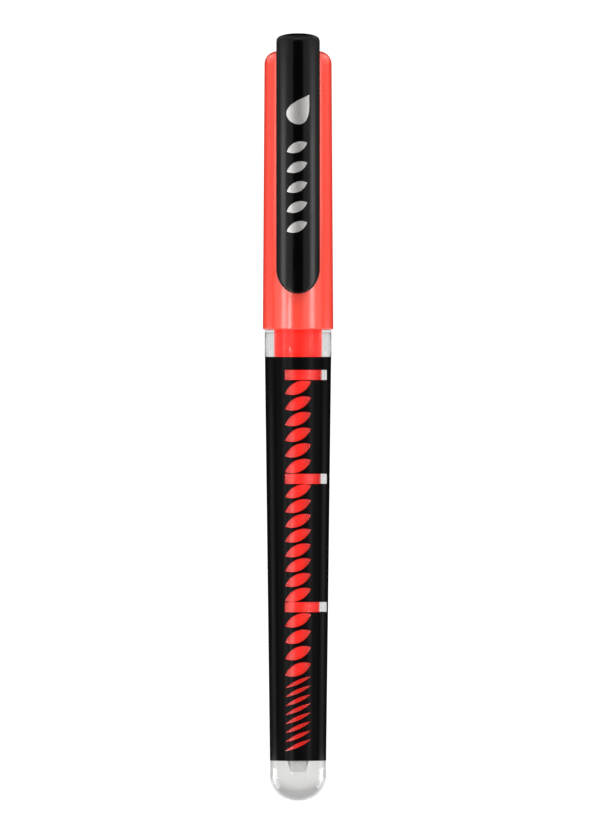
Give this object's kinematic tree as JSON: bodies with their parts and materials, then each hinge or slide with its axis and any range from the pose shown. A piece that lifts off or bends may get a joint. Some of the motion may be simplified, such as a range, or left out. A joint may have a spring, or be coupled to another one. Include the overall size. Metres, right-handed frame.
{
  "type": "brush pen",
  "caption": "Capped liquid-ink brush pen: clear tapered barrel round an ink tank, black windowed film sleeve, finned feed, brush tip, and a push-on cap with a sprung pocket clip.",
  "frame": {"origin": "on the pen's axis in the plane of the barrel's mouth, where the barrel meets the front section's flange just below the cap's lip", "axes": "+Z along the pen towards the brush and the cap's top, -Y towards the clip and the sleeve's windows, +X to the right seen from the clip side"},
  "size_m": [0.0134, 0.0157, 0.1448],
  "materials": {
    "clear_plastic": "clear moulded polypropylene, polished",
    "black_film": "satin black plastic film with cut-out windows",
    "tank_plastic": "thin translucent tube",
    "ink": "coral-red liquid ink",
    "seal_plastic": "natural moulded plastic",
    "collector_plastic": "natural plastic stained by ink",
    "feed_fibre": "bonded fibre rod soaked with ink",
    "black_plastic": "satin black moulded plastic",
    "brush_fibre": "flexible fibre brush stained by ink",
    "coral_plastic": "glossy coral-red moulded plastic",
    "liner_plastic": "natural translucent polypropylene",
    "gloss_black_plastic": "glossy black moulded plastic",
    "silver_foil": "silver foil print on the clip"
  },
  "bodies": {
    "barrel": {"barrel": "clear_plastic", "printed_sleeve": "black_film", "ink_tank": "tank_plastic", "ink_charge": "ink", "tank_seal": "seal_plastic", "front_section": "clear_plastic", "collector": "collector_plastic", "feed_rod": "feed_fibre", "nose_cone": "black_plastic", "brush_tip": "brush_fibre"},
    "cap": {"cap_shell": "coral_plastic", "inner_cap": "liner_plastic", "crown": "gloss_black_plastic"},
    "clip": {"clip_arm": "gloss_black_plastic"}
  },
  "joints": [
    {"name": "cap_pull", "type": "slide", "parent": "barrel", "child": "cap", "axis": [0, 0, 1], "range_m": [0, 0.055]},
    {"name": "clip_flex", "type": "hinge", "parent": "cap", "child": "clip", "pos_m": [0, -0.007, 0.05475], "axis": [-1, 0, 0], "range_deg": [0, 3.5], "stiffness_Nm_per_rad": 1.2}
  ]
}
